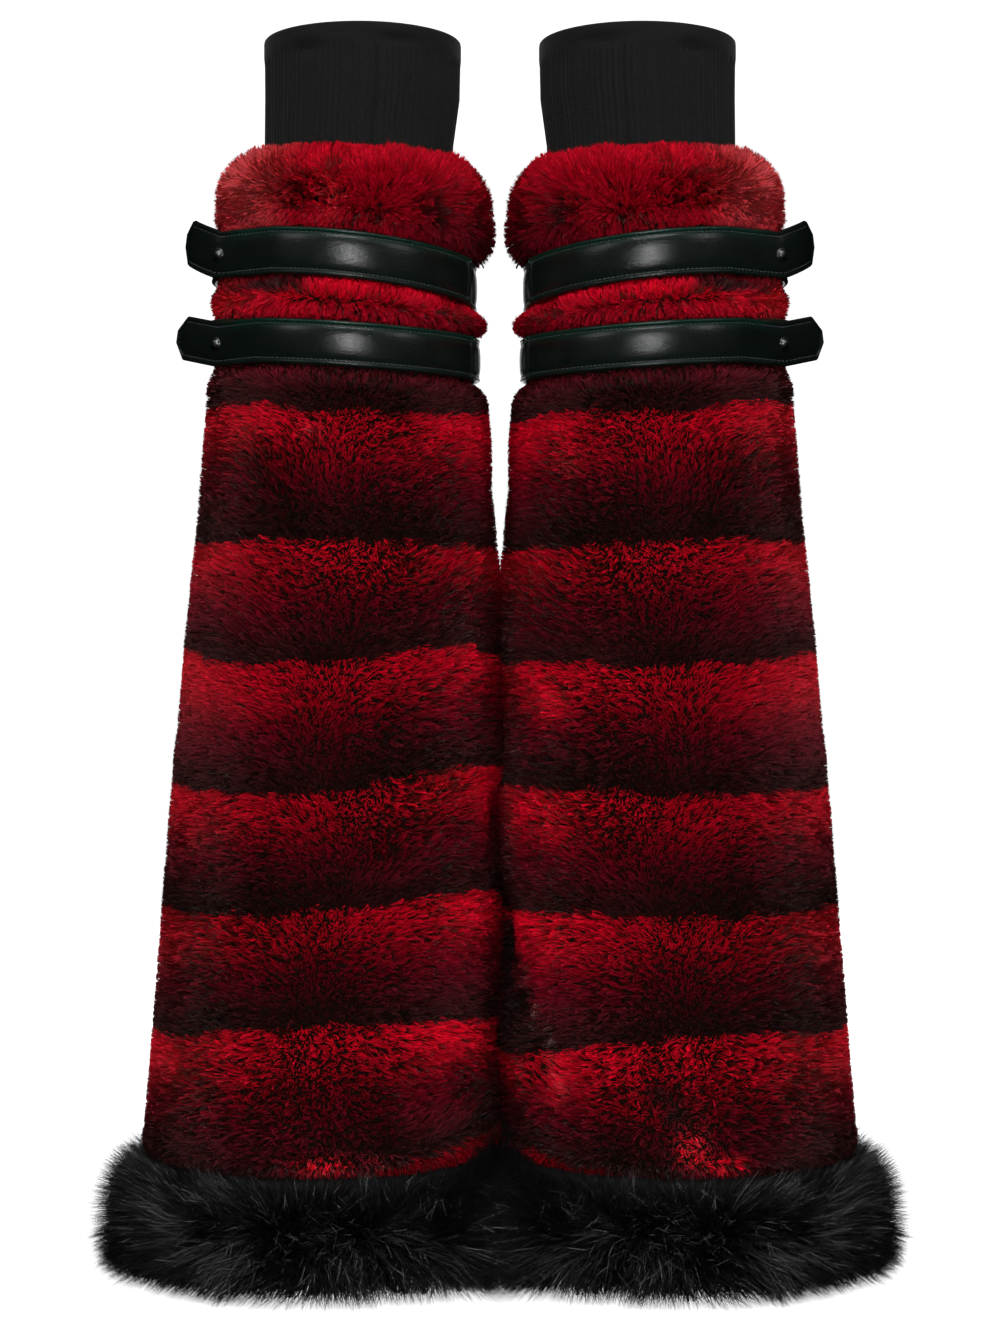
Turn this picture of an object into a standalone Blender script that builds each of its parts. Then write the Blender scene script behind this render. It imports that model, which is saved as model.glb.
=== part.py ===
"""A pair of flared faux-fur leg warmers, standing upright and filled out as if worn.

Each warmer is a ribbed knit cuff, a striped fur tube, a long-pile fur hem and two
snap-fastened straps with a free pointed tab on the outer side. Metres, +Z up, the front
faces -Y. The left warmer lies at -X. The origin is where the wearer's legs hold the pair:
midway between the two cuffs, at half the height of a cuff.

Angles run round a warmer's own axis: 0 is its outer side, 90 the front, 180 the inner
side, which faces the other warmer, and 270 the back. Heights in the tables are measured
up from the lower edge of the hems.
"""

import math
from collections import namedtuple

import bmesh
import bpy
from mathutils import Matrix, Vector

MM = 0.001
SHARP_ANGLE = 50.0  # edges that turn more than this stay crisp
SIDES = {"left": -1, "right": 1}

# The pair as a whole, in millimetres like the tables below
HOLD_HEIGHT = 550.0  # the middle of the cuffs, where z is 0
SEAM_GAP = 0.3  # between pieces that are sewn together or lie on each other
MIDDLE_GAP = 0.25  # each warmer stops this short of the plane between the two
COLUMNS = 40  # points round a fur ring
AROUND = [360.0 * i / COLUMNS for i in range(COLUMNS)]

# One ring of a tube: its height, its half width, how far its inner edge lies from the
# plane between the warmers, and how much higher it is at the outer side and at the front
Ring = namedtuple("Ring", "height half_width to_middle outer_lift front_lift", defaults=(0, 0))

# A strap: the height of its middle, its lifts, its width, the radius and centre of the
# ring that its inner face makes, how far that ring swells on the outer side, the angle
# where the band leaves the ring, the run from there to the snap and from the snap to the
# tip, how far the tab turns back after the snap, and how steeply it rises
Strap = namedtuple(
    "Strap",
    "height outer_lift front_lift width radius centre swell leaves_at to_snap to_tip turn rise",
)
STRAPS = {
    "upper": Strap(462.8, 6.1, 1.8, 21.5, 57.6, 70.5, 5.0, 57.0, 30.0, 30.0, 30.0, 20.0),
    "lower": Strap(427.0, 4.0, -3.0, 20.5, 59.2, 70.5, 5.0, 49.0, 25.0, 29.0, 4.0, 12.0),
}
STRAP_THICKNESS = 2.4
# The turned edge along both sides of a strap: its width, its rise, and its outer rounding
PIPING_WIDTH, PIPING_RAISE, PIPING_CORNER = 1.7, 0.5, 0.7
UNDER_END_ANGLE = 41.0  # the strap's other end, which lies under the tab and the snap
SWELL_ANGLE, SWELL_REACH = 8.0, 50.0  # where a strap's ring swells, and how far each way
TAB_POINT_LENGTH = 6.3
TAB_TIP_SHARE = 0.3  # the blunt tip's share of the strap's width
RING_STEPS, TAB_STEPS = 32, 3
# A snap's cap, from its back to its top: a share of its radius, and a height
SNAP_RADIUS, SNAP_COLUMNS = 3.3, 12
SNAP_PROFILE = ((1.0, 0.0), (1.0, 0.4), (0.86, 0.8), (0.60, 1.55), (0.25, 1.9))

# The ribbed cuff, from its foot inside the fur to its rolled top edge
CUFF_WALL = 2.4
RIBS = 100
RIB_RELIEF = 0.7
CUFF_RIBBED = (
    Ring(505.0, 44.0, 22.3),
    Ring(524.0, 44.3, 21.9),
    Ring(546.0, 45.7, 18.9),
    Ring(561.0, 45.9, 18.6),
)
CUFF_BAND = (
    Ring(564.0, 46.2, 18.3),
    Ring(570.3, 46.0, 18.5),
    Ring(572.5, 44.8, 19.7),
)

# The fur tube's outer face from the rim that meets the cuff down to the hem. A name in
# place of a ring is a groove, in which the strap of that name lies.
RIM = Ring(517.5, 44.75, 21.5, 2.0, -2.0)
FUR_OUTSIDE = (
    RIM,
    Ring(518.5, 48.8, 17.3, 2.0, -2.0),
    Ring(515.0, 55.5, 11.0, 2.5, -1.5),
    Ring(508.5, 61.6, 6.0, 2.0, -1.0),
    Ring(502.0, 64.7, 3.3, 1.5, 0.0),
    Ring(492.0, 65.2, 2.8, 2.5, 0.5),
    Ring(481.5, 64.6, 3.9, 5.0, 1.2),
    Ring(476.5, 61.5, 8.2, 6.0, 1.8),
    "upper",
    Ring(449.2, 62.8, 8.3, 6.0, 1.2),
    Ring(444.0, 65.5, 5.2, 5.0, -0.5),
    Ring(439.9, 63.2, 7.4, 4.2, -2.2),
    "lower",
    Ring(413.6, 63.6, 8.0, 4.0, -3.0),
    Ring(408.5, 66.3, 5.2, 3.4, -2.4),
    Ring(398.0, 67.3, 4.1, 2.0, -1.0),
    Ring(385.0, 68.3, 3.3, 1.0),
    Ring(362.0, 69.5, 2.7),
    Ring(336.0, 71.3, 1.5),
    Ring(312.0, 73.1, 0.4),
    Ring(288.0, 74.3, 0.3),
    Ring(262.0, 75.4, 0.3),
    Ring(236.0, 76.6, 0.3),
    Ring(210.0, 77.7, 0.3),
    Ring(181.0, 79.0, 0.3),
    Ring(154.0, 80.0, 0.3),
    Ring(128.0, 81.1, 0.3),
    Ring(104.0, 82.1, 0.3),
    Ring(84.0, 82.9, 0.3),
    Ring(68.0, 83.6, 0.3),
    Ring(58.0, 83.8, 0.3),
    Ring(54.2, 82.0, 2.1),
    Ring(53.0, 78.0, 6.1),
)
GROOVE_CLEARANCE = 0.6  # from a strap's inner face to the fur under it
# The fur tube's inner face, from the hem up to the seam with the cuff
FUR_INSIDE = (
    Ring(53.0, 73.0, 11.1),
    Ring(200.0, 67.2, 10.9),
    Ring(312.0, 62.0, 11.5),
    Ring(400.0, 55.6, 15.5),
    Ring(420.0, 53.2, 17.3),
    Ring(474.0, 52.6, 17.6, 4.0),
    Ring(497.0, 51.0, 17.5, 1.0),
    Ring(506.0, 44.6, 21.7),
)

# The hem's long pile, as a turned section: the distance out from its inner wall, which
# follows the lower end of the fur tube, and the height
HEM_INNER = Ring(0.0, 73.0, 10.4)
HEM_SECTION = (
    (0.0, 0.0),
    (0.0, 52.2),
    (10.0, 52.2),
    (19.0, 52.6),
    (26.5, 48.5),
    (31.5, 39.0),
    (34.0, 25.0),
    (33.0, 8.5),
    (26.0, 0.0),
)
HEM_REACH = 34.0
# Locks of pile that stand out or lie back: how many round the hem, how far, and a phase
HEM_LOCKS = ((5, 1.1, 40.0), (8, 0.8, 110.0), (13, 0.7, 200.0))

# Creases in the fur tube: from one place to another, each an angle and a height, with a
# depth, negative for a trough, and the half width over which the crease fades
Crease = namedtuple("Crease", "angle_from height_from angle_to height_to depth width")
CREASE_RADIUS = 78.0  # turns an angle into a distance round the tube
CREASES = {
    "left": (
        Crease(170.0, 238.0, 147.0, 206.0, 2.6, 11.0),
        Crease(172.0, 218.0, 150.0, 188.0, -3.0, 9.0),
        Crease(118.0, 62.0, 163.0, 72.0, 2.6, 9.0),
        Crease(128.0, 84.0, 142.0, 86.0, -3.6, 11.0),
        Crease(62.0, 330.0, 96.0, 322.0, -1.6, 14.0),
        Crease(20.0, 130.0, 52.0, 116.0, -2.0, 13.0),
        Crease(228.0, 305.0, 252.0, 286.0, -2.4, 12.0),
        Crease(287.0, 176.0, 262.0, 150.0, -3.0, 11.0),
        Crease(225.0, 100.0, 248.0, 78.0, -3.2, 11.0),
        Crease(318.0, 92.0, 296.0, 76.0, 2.2, 12.0),
    ),
    "right": (
        Crease(169.0, 158.0, 140.0, 102.0, -6.4, 8.0),
        Crease(166.0, 112.0, 150.0, 84.0, 3.6, 13.0),
        Crease(97.0, 98.0, 86.0, 74.0, -3.2, 9.0),
        Crease(84.0, 92.0, 79.0, 70.0, 2.2, 8.0),
        Crease(170.0, 262.0, 150.0, 240.0, -2.2, 11.0),
        Crease(60.0, 214.0, 92.0, 204.0, -1.6, 14.0),
        Crease(240.0, 262.0, 266.0, 240.0, -2.8, 12.0),
        Crease(300.0, 142.0, 272.0, 118.0, -3.0, 11.0),
        Crease(214.0, 120.0, 232.0, 88.0, -3.4, 10.0),
        Crease(330.0, 300.0, 306.0, 286.0, -1.8, 13.0),
    ),
}

# Colour, roughness and metallic value
MATERIALS = {
    "knit": ((0.010, 0.011, 0.010), 0.95, 0.0),
    "striped_fur": ((0.300, 0.004, 0.008), 0.85, 0.0),
    "black_fur": ((0.006, 0.006, 0.007), 0.70, 0.0),
    "strap": ((0.012, 0.018, 0.016), 0.28, 0.0),
    "snap": ((0.020, 0.021, 0.022), 0.22, 0.6),
}


def wave(degrees, period, phase):
    """A sine of the angle that has the given number of periods round a warmer."""
    return math.sin(math.radians(period * degrees + phase))


def lifted(level, degrees):
    """The height of a ring or strap at an angle round the warmer."""
    turn = math.radians(degrees)
    return level.height + level.outer_lift * math.cos(turn) + level.front_lift * math.sin(turn)


def in_pair(side, outward, front, height):
    """A point of a warmer, in metres: outward from the plane between the two warmers."""
    return Vector((SIDES[side] * outward, -front, height - HOLD_HEIGHT)) * MM


def on_ring(side, centre, radius, degrees, height):
    """A point of a round section about the axis that lies centre out from the middle."""
    turn = math.radians(degrees)
    return in_pair(side, centre + radius * math.cos(turn), radius * math.sin(turn), height)


def kept_off_middle(centre, radius, degrees):
    """The radius, shortened where it would pass the plane between the warmers."""
    inward = -math.cos(math.radians(degrees))
    if inward <= 0.0:
        return radius
    return min(radius, (centre - MIDDLE_GAP) / inward)


def crease_depth(side, degrees, height):
    """How far the creases move the fur out, or in where negative."""
    total = 0.0
    for crease in CREASES[side]:
        start = Vector((math.radians(crease.angle_from) * CREASE_RADIUS, crease.height_from))
        end = Vector((math.radians(crease.angle_to) * CREASE_RADIUS, crease.height_to))
        place = Vector((math.radians(degrees) * CREASE_RADIUS, height))
        along = end - start
        share = max(0.0, min(1.0, (place - start).dot(along) / along.length_squared))
        away = (place - start - along * share).length
        total += crease.depth * math.exp(-((away / crease.width) ** 2))
    return total


def swelling(strap, degrees):
    """How far a strap's ring stands out beyond its radius, round the snap."""
    apart = abs((degrees - SWELL_ANGLE + 180.0) % 360.0 - 180.0)
    if apart >= SWELL_REACH:
        return 0.0
    return strap.swell * math.cos(math.radians(90.0 * apart / SWELL_REACH)) ** 2


def strap_radius(strap, degrees):
    """The radius of a strap's inner face, which passes under the tab near the snap."""
    radius = strap.radius + swelling(strap, degrees)
    before_tab = strap.leaves_at - degrees % 360.0
    if 0.0 < before_tab and degrees % 360.0 <= UNDER_END_ANGLE + 360.0 / COLUMNS:
        under_tab = strap.radius - STRAP_THICKNESS - SEAM_GAP
        radius = min(radius, under_tab / math.cos(math.radians(before_tab)))
    return radius


def add_object(name, draw, material, place=None):
    """Puts what draw makes in a new object of the pair, at the matrix place if one is given."""
    mesh = bpy.data.meshes.new(name)
    drawn = bmesh.new()
    draw(drawn)
    bmesh.ops.recalc_face_normals(drawn, faces=drawn.faces)
    drawn.to_mesh(mesh)
    drawn.free()
    mesh.shade_smooth()
    mesh.set_sharp_from_angle(angle=math.radians(SHARP_ANGLE))
    mesh.materials.append(material)
    piece = bpy.data.objects.new(name, mesh)
    bpy.context.collection.objects.link(piece)
    if place is not None:
        piece.matrix_world = place
    return piece


def bridge(drawn, first, second):
    """Faces between two closed rings, one of which may have a multiple of the other's points."""
    fine, coarse = (first, second) if len(first) >= len(second) else (second, first)
    ratio = len(fine) // len(coarse)
    for i, corner in enumerate(coarse):
        next_corner = coarse[(i + 1) % len(coarse)]
        run = [fine[(i * ratio + k) % len(fine)] for k in range(ratio + 1)]
        if ratio == 1:
            drawn.faces.new((corner, next_corner, run[1], run[0]))
            continue
        middle = ratio // 2
        for k in range(ratio):
            apex = corner if k < middle else next_corner
            drawn.faces.new((apex, run[k + 1], run[k]))
        drawn.faces.new((corner, next_corner, run[middle]))


def draw_closed_tube(drawn, rings):
    """A tube with walls: each ring of points joins the next, and the last the first."""
    made = [[drawn.verts.new(point) for point in ring] for ring in rings]
    for first, second in zip(made, made[1:] + made[:1]):
        bridge(drawn, first, second)


def plain_ring(side, ring, columns=AROUND, inset=0.0):
    """The points of a ring, or of one that lies inset within it."""
    centre = ring.half_width + ring.to_middle
    return [
        on_ring(side, centre, ring.half_width - inset, degrees, lifted(ring, degrees))
        for degrees in columns
    ]


def ribbed_ring(side, ring):
    """A ring of the cuff with a crest and a trough for every rib."""
    centre = ring.half_width + ring.to_middle
    points = []
    for i in range(2 * RIBS):
        radius = ring.half_width - RIB_RELIEF * (i % 2)
        points.append(on_ring(side, centre, radius, 180.0 * i / RIBS, ring.height))
    return points


def draw_cuff(drawn, side):
    """The knit tube: ribs outside, a plain inside and a smooth rolled band on top."""
    outside = [ribbed_ring(side, ring) for ring in CUFF_RIBBED]
    band = [plain_ring(side, ring) for ring in CUFF_BAND]
    inside_rings = (CUFF_BAND[1], CUFF_RIBBED[2], CUFF_RIBBED[0])
    inside = [plain_ring(side, ring, inset=CUFF_WALL) for ring in inside_rings]
    draw_closed_tube(drawn, outside + band + inside)


def fur_ring(side, ring):
    """A ring of the fur tube's outer face, creased and kept clear of the other warmer."""
    centre = ring.half_width + ring.to_middle
    points = []
    for degrees in AROUND:
        height = lifted(ring, degrees)
        radius = ring.half_width + crease_depth(side, degrees, height)
        radius = kept_off_middle(centre, radius, degrees)
        points.append(on_ring(side, centre, radius, degrees, height))
    return points


def groove_rings(side, strap):
    """The two rings of the groove that a strap presses into the fur."""
    rings = []
    for edge in (1, -1):
        offset = edge * (strap.width / 2 + GROOVE_CLEARANCE)
        rings.append([
            on_ring(
                side,
                strap.centre,
                strap_radius(strap, degrees) - GROOVE_CLEARANCE,
                degrees,
                lifted(strap, degrees) + offset,
            )
            for degrees in AROUND
        ])
    return rings


def draw_fur(drawn, side):
    """The striped fur tube: a thick wall of cloth and pile, cinched by the straps."""
    outside = []
    for ring in FUR_OUTSIDE:
        if ring in STRAPS:
            outside += groove_rings(side, STRAPS[ring])
        else:
            outside.append(fur_ring(side, ring))
    inside = [plain_ring(side, ring) for ring in FUR_INSIDE]
    draw_closed_tube(drawn, outside + inside)


def hem_lock(degrees):
    """How far the pile stands out or lies back at an angle."""
    return sum(size * wave(degrees, count, phase) for count, size, phase in HEM_LOCKS)


def draw_hem(drawn, side):
    """The long-pile ring. Its pile is pressed flat where it meets the other hem."""
    centre = HEM_INNER.half_width + HEM_INNER.to_middle
    rings = []
    for out, height in HEM_SECTION:
        ring = []
        for degrees in AROUND:
            longest = HEM_REACH + hem_lock(degrees)
            reach = HEM_INNER.half_width + longest
            room = kept_off_middle(centre, reach, degrees) - HEM_INNER.half_width
            pile = out + hem_lock(degrees) * (out / HEM_REACH) ** 2
            radius = HEM_INNER.half_width + pile * room / longest
            ring.append(on_ring(side, centre, radius, degrees, height))
        rings.append(ring)
    draw_closed_tube(drawn, rings)


def strap_places(strap):
    """The middle of a strap's thickness, in steps from the end under the tab to the tip.

    Each step holds how far it lies out from the plane between the warmers and to the
    front, its height, and the share of the strap's full width there.
    """
    places = []
    whole_turn = UNDER_END_ANGLE + 360.0 - strap.leaves_at
    for i in range(RING_STEPS + 1):
        degrees = UNDER_END_ANGLE - whole_turn * i / RING_STEPS
        inner_face = strap.radius if i == RING_STEPS else strap_radius(strap, degrees)
        radius = inner_face + STRAP_THICKNESS / 2
        outward = strap.centre + radius * math.cos(math.radians(degrees))
        front = radius * math.sin(math.radians(degrees))
        places.append((outward, front, lifted(strap, degrees), 1.0))
    heading = strap.leaves_at - 90.0
    shaft = (strap.to_tip - TAB_POINT_LENGTH) / TAB_STEPS
    # each run: its length, how far it turns back, how steeply it rises, its share of width
    runs = [(strap.to_snap / TAB_STEPS, 0.0, 0.0, 1.0)] * TAB_STEPS
    runs += [(shaft, strap.turn / TAB_STEPS, strap.rise, 1.0)] * TAB_STEPS
    runs += [(TAB_POINT_LENGTH, 0.0, strap.rise, TAB_TIP_SHARE)]
    for length, turning, rise, share in runs:
        outward, front, height, _ = places[-1]
        heading -= turning
        level_run = length * math.cos(math.radians(rise))
        outward += level_run * math.cos(math.radians(heading))
        front += level_run * math.sin(math.radians(heading))
        height += length * math.sin(math.radians(rise))
        places.append((outward, front, height, share))
    return places


def strap_frames(side, strap):
    """For each step of a strap: its point, and the ways along, out of its face and up it."""
    points = [in_pair(side, *place[:3]) for place in strap_places(strap)]
    frames = []
    for i, point in enumerate(points):
        along = (points[min(i + 1, len(points) - 1)] - points[max(i - 1, 0)]).normalized()
        out = along.cross(Vector((0.0, 0.0, 1.0))).normalized() * SIDES[side]
        up = out.cross(along).normalized() * SIDES[side]
        frames.append((point, along, out, up))
    return frames


def strap_section(width):
    """Up and out, round a strap's section: a flat back, and a face between piped edges."""
    half, thick = width / 2, STRAP_THICKNESS / 2
    corner = min(PIPING_CORNER, half / 3)
    face_edge = min(PIPING_WIDTH, half * 2 / 3)
    return (
        (-half, 0.0),
        (corner - half, thick + PIPING_RAISE),
        (face_edge - half, thick),
        (half - face_edge, thick),
        (half - corner, thick + PIPING_RAISE),
        (half, 0.0),
        (half - corner, -thick),
        (corner - half, -thick),
    )


def draw_strap(drawn, side, strap):
    """The band and its tab, one closed strip that laps over its own end at the snap."""
    loops = []
    for place, (point, _, out, up) in zip(strap_places(strap), strap_frames(side, strap)):
        section = strap_section(strap.width * place[3])
        loops.append([drawn.verts.new(point + (up * u + out * o) * MM) for u, o in section])
    for first, second in zip(loops, loops[1:]):
        bridge(drawn, first, second)
    drawn.faces.new(loops[0])
    drawn.faces.new(loops[-1])


def snap_place(side, strap):
    """Where the snap sits on the tab, as a matrix whose Z points out of the tab's face."""
    frames = strap_frames(side, strap)
    snap_step = RING_STEPS + TAB_STEPS
    _, along, out, _ = frames[snap_step - 1]
    seat = frames[snap_step][0] + out * (STRAP_THICKNESS / 2 + SEAM_GAP) * MM
    turned = Matrix((along, out.cross(along), out)).transposed().to_4x4()
    return Matrix.Translation(seat) @ turned


def draw_snap(drawn):
    """A domed snap cap with a low rim, its flat back at z = 0."""
    turns = [math.tau * i / SNAP_COLUMNS for i in range(SNAP_COLUMNS)]
    rings = []
    for share, height in SNAP_PROFILE:
        radius = SNAP_RADIUS * share
        points = [(radius * math.cos(turn), radius * math.sin(turn), height) for turn in turns]
        rings.append([drawn.verts.new(Vector(point) * MM) for point in points])
    for first, second in zip(rings, rings[1:]):
        bridge(drawn, first, second)
    drawn.faces.new(rings[0])
    drawn.faces.new(rings[-1])


def make_materials():
    """One Principled material for each kind of piece."""
    made = {}
    for name, (colour, roughness, metallic) in MATERIALS.items():
        material = bpy.data.materials.new(name)
        material.use_nodes = True
        shader = material.node_tree.nodes["Principled BSDF"]
        shader.inputs["Base Color"].default_value = (*colour, 1.0)
        shader.inputs["Roughness"].default_value = roughness
        shader.inputs["Metallic"].default_value = metallic
        made[name] = material
    return made


def make_warmer(side, materials):
    """All the pieces of one leg warmer."""
    pieces = [
        add_object(f"cuff_{side}", lambda drawn: draw_cuff(drawn, side), materials["knit"]),
        add_object(f"fur_{side}", lambda drawn: draw_fur(drawn, side), materials["striped_fur"]),
        add_object(f"hem_{side}", lambda drawn: draw_hem(drawn, side), materials["black_fur"]),
    ]
    for level, strap in STRAPS.items():
        pieces.append(
            add_object(
                f"strap_{level}_{side}",
                lambda drawn, strap=strap: draw_strap(drawn, side, strap),
                materials["strap"],
            )
        )
        place = snap_place(side, strap)
        pieces.append(add_object(f"snap_{level}_{side}", draw_snap, materials["snap"], place))
    return pieces


def main():
    for old in list(bpy.data.objects):
        bpy.data.objects.remove(old, do_unlink=True)
    materials = make_materials()
    for side in SIDES:
        holder = bpy.data.objects.new(f"{side}_warmer", None)
        bpy.context.collection.objects.link(holder)
        for piece in make_warmer(side, materials):
            piece.parent = holder


main()
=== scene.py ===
"""The finish of a pair of flared faux-fur leg warmers, on a pale floor in soft studio light.

Each warmer has a rib-knit cuff, a fur tube whose pile grows from a backing cloth in red
stripes that fade to black, a hem of long black pile, two stitched straps and their snaps.
The tables hold the same sizes as the solids, in millimetres. Angles run round a warmer:
0 is its outer side, 90 the front, 180 the inner side and 270 the back. Heights are
measured up from the lower edge of the hems.
"""

import math
from collections import namedtuple

import bpy
import numpy as np
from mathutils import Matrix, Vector


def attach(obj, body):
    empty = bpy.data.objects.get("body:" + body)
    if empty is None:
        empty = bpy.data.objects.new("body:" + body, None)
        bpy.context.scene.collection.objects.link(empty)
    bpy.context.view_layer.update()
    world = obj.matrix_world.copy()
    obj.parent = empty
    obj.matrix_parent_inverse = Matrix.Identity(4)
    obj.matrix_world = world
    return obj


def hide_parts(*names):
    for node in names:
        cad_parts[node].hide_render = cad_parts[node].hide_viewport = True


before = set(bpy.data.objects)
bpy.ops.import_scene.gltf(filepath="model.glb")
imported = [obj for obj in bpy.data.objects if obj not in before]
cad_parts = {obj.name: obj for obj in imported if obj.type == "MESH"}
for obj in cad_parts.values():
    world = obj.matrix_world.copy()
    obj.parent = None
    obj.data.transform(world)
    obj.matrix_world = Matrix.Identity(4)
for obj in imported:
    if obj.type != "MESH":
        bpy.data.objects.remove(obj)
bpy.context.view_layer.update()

MM = 0.001
SIDES = {"left": -1, "right": 1}
HOLD_HEIGHT = 550  # the height where z is 0
FLOOR_Z = -HOLD_HEIGHT * MM
MIDDLE_GAP = 0.25  # each warmer's cloth stops this short of the plane between the two
PILE_CROSSING, HEM_CROSSING = 3.2, 10  # how far loose pile reaches past that plane

# ---------------- the forms, as in the solids

# One ring of a tube: height, half width, distance of its inner edge from the plane between
# the warmers, how much higher it is at the outer side and the front, and its pile's depth
Ring = namedtuple(
    "Ring", "height half_width to_middle outer_lift front_lift pile", defaults=(0, 0, 7)
)
Strap = namedtuple(
    "Strap",
    "height outer_lift front_lift width radius centre swell leaves_at to_snap to_tip turn rise",
)
STRAPS = {
    "upper": Strap(462.8, 6.1, 1.8, 21.5, 57.6, 70.5, 5, 57, 30, 30, 30, 20),
    "lower": Strap(427, 4, -3, 20.5, 59.2, 70.5, 5, 49, 25, 29, 4, 12),
}
STRAP_THICKNESS = 2.4
SEAM_GAP = 0.3
UNDER_END_ANGLE = 41  # the strap's other end, which lies under the tab and the snap
UNDER_RUN = 9  # how far past that end the band still dips under the tab
SWELL_ANGLE, SWELL_REACH = 8, 50
TAB_POINT_LENGTH, TAB_TIP_SHARE = 6.3, 0.3
GROOVE_CLEARANCE = 0.6

FUR_OUTSIDE = (
    Ring(517.5, 44.75, 21.5, 2, -2, 0.3),
    Ring(518.5, 48.8, 17.3, 2, -2, 4),
    Ring(515, 55.5, 11, 2.5, -1.5, 8),
    Ring(508.5, 61.6, 6, 2, -1, 10),
    Ring(502, 64.7, 3.3, 1.5, 0, 11),
    Ring(492, 65.2, 2.8, 2.5, 0.5, 11),
    Ring(481.5, 64.6, 3.9, 5, 1.2, 10),
    Ring(476.5, 61.5, 8.2, 6, 1.8, 6),
    "upper",
    Ring(449.2, 62.8, 8.3, 6, 1.2, 6),
    Ring(444, 65.5, 5.2, 5, -0.5, 9),
    Ring(439.9, 63.2, 7.4, 4.2, -2.2, 6.5),
    "lower",
    Ring(413.6, 63.6, 8, 4, -3, 5.5),
    Ring(408.5, 66.3, 5.2, 3.4, -2.4, 7.5),
    Ring(398, 67.3, 4.1, 2, -1),
    Ring(385, 68.3, 3.3, 1),
    Ring(362, 69.5, 2.7),
    Ring(336, 71.3, 1.5),
    Ring(312, 73.1, 0.4),
    *(Ring(height, half_width, 0.3) for height, half_width in (
        (288, 74.3), (262, 75.4), (236, 76.6), (210, 77.7), (181, 79), (154, 80),
        (128, 81.1), (104, 82.1), (84, 82.9), (68, 83.6),
    )),
    Ring(58, 83.8, 0.3, 0, 0, 6),
    Ring(54.2, 82, 2.1, 0, 0, 5),
    Ring(53, 78, 6.1, 0, 0, 2.5),
)
GROOVE_PILE = 2.5

Crease = namedtuple("Crease", "angle_from height_from angle_to height_to depth width")
CREASE_RADIUS = 78
CREASES = {
    "left": (
        Crease(170, 238, 147, 206, 2.6, 11),
        Crease(172, 218, 150, 188, -3, 9),
        Crease(118, 62, 163, 72, 2.6, 9),
        Crease(128, 84, 142, 86, -3.6, 11),
        Crease(62, 330, 96, 322, -1.6, 14),
        Crease(20, 130, 52, 116, -2, 13),
        Crease(228, 305, 252, 286, -2.4, 12),
        Crease(287, 176, 262, 150, -3, 11),
        Crease(225, 100, 248, 78, -3.2, 11),
        Crease(318, 92, 296, 76, 2.2, 12),
    ),
    "right": (
        Crease(169, 158, 140, 102, -6.4, 8),
        Crease(166, 112, 150, 84, 3.6, 13),
        Crease(97, 98, 86, 74, -3.2, 9),
        Crease(84, 92, 79, 70, 2.2, 8),
        Crease(170, 262, 150, 240, -2.2, 11),
        Crease(60, 214, 92, 204, -1.6, 14),
        Crease(240, 262, 266, 240, -2.8, 12),
        Crease(300, 142, 272, 118, -3, 11),
        Crease(214, 120, 232, 88, -3.4, 10),
        Crease(330, 300, 306, 286, -1.8, 13),
    ),
}

CUFF_WALL = 2.4
RIBS = 100
RIB_RELIEF = 0.7
# The ribbed part, and where the smooth band above it starts
CUFF_OUTSIDE = (
    Ring(505, 44, 22.3), Ring(524, 44.3, 21.9), Ring(546, 45.7, 18.9), Ring(561, 45.9, 18.6),
    Ring(564, 46.2, 18.3),
)

HEM_RADIUS, HEM_CENTRE = 73, 83.4  # the hem's inside, and how far out its axis lies
HEM_SECTION = (  # the pile's tips from the top round to the foot: how far out, and how high
    (0, 52.2), (9, 53.6), (17, 57), (25.5, 51), (31.5, 39.5),
    (34, 25), (33.4, 9.5), (27.5, 1.6), (19, 0.6),
)
HEM_REACH = 34
HEM_LOCKS = ((5, 1.1, 40), (8, 0.8, 110), (13, 0.7, 200))  # waves round it: count, size, phase
# In front and behind, where the hems part, their pile reaches further and closes the gap
HEM_MEETING = ((134, 17, 16), (226, 17, 16))  # angle, spread, reach
# Between the warmers it stands up over the lower edge of the fur
HEM_CLIMB = ((165, 24, 11), (195, 24, 11))

# ---------------- the looks

# Where each stripe starts at its bright upper edge, by the place round a warmer
Stripe = namedtuple(
    "Stripe", "outer outer_front front inner_front inner inner_back back outer_back"
)
TOP_STRIPES = (Stripe(*[524] * 8), Stripe(454, 451.5, 457, 462, 462, 460, 458, 456))
CUT_END = Stripe(*[10] * 8)
STRIPES = {
    "left": (
        *TOP_STRIPES,
        Stripe(398.5, 399, 394, 393, 398.5, 397, 394, 397),
        Stripe(338, 337.5, 336, 334.5, 336, 337, 335, 337),
        Stripe(289, 282, 281.5, 290, 285, 283, 286, 288),
        Stripe(227, 224, 223.5, 233.5, 235, 229, 226, 228),
        Stripe(169.5, 168.5, 172.3, 177, 175, 171, 169, 171),
        Stripe(109.5, 114, 122.5, 119.5, 115, 114, 118, 113),
        Stripe(46, 47, 51, 62, 73, 50, 52, 48),
        CUT_END,
    ),
    "right": (
        *TOP_STRIPES,
        Stripe(402, 400, 394, 393.5, 392, 395, 396, 400),
        Stripe(338.4, 338.3, 335.3, 333.5, 334, 336, 335, 337),
        Stripe(286.2, 283.7, 280, 281.4, 280, 282, 284, 286),
        Stripe(223.7, 224.2, 222.8, 224.4, 225, 226, 223, 222),
        Stripe(170, 170, 169.5, 169.3, 167, 168, 171, 170),
        Stripe(112.5, 115.5, 117, 106, 101, 108, 115, 114),
        Stripe(46, 48, 51, 57, 66, 50, 52, 48),
        CUT_END,
    ),
}

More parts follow.
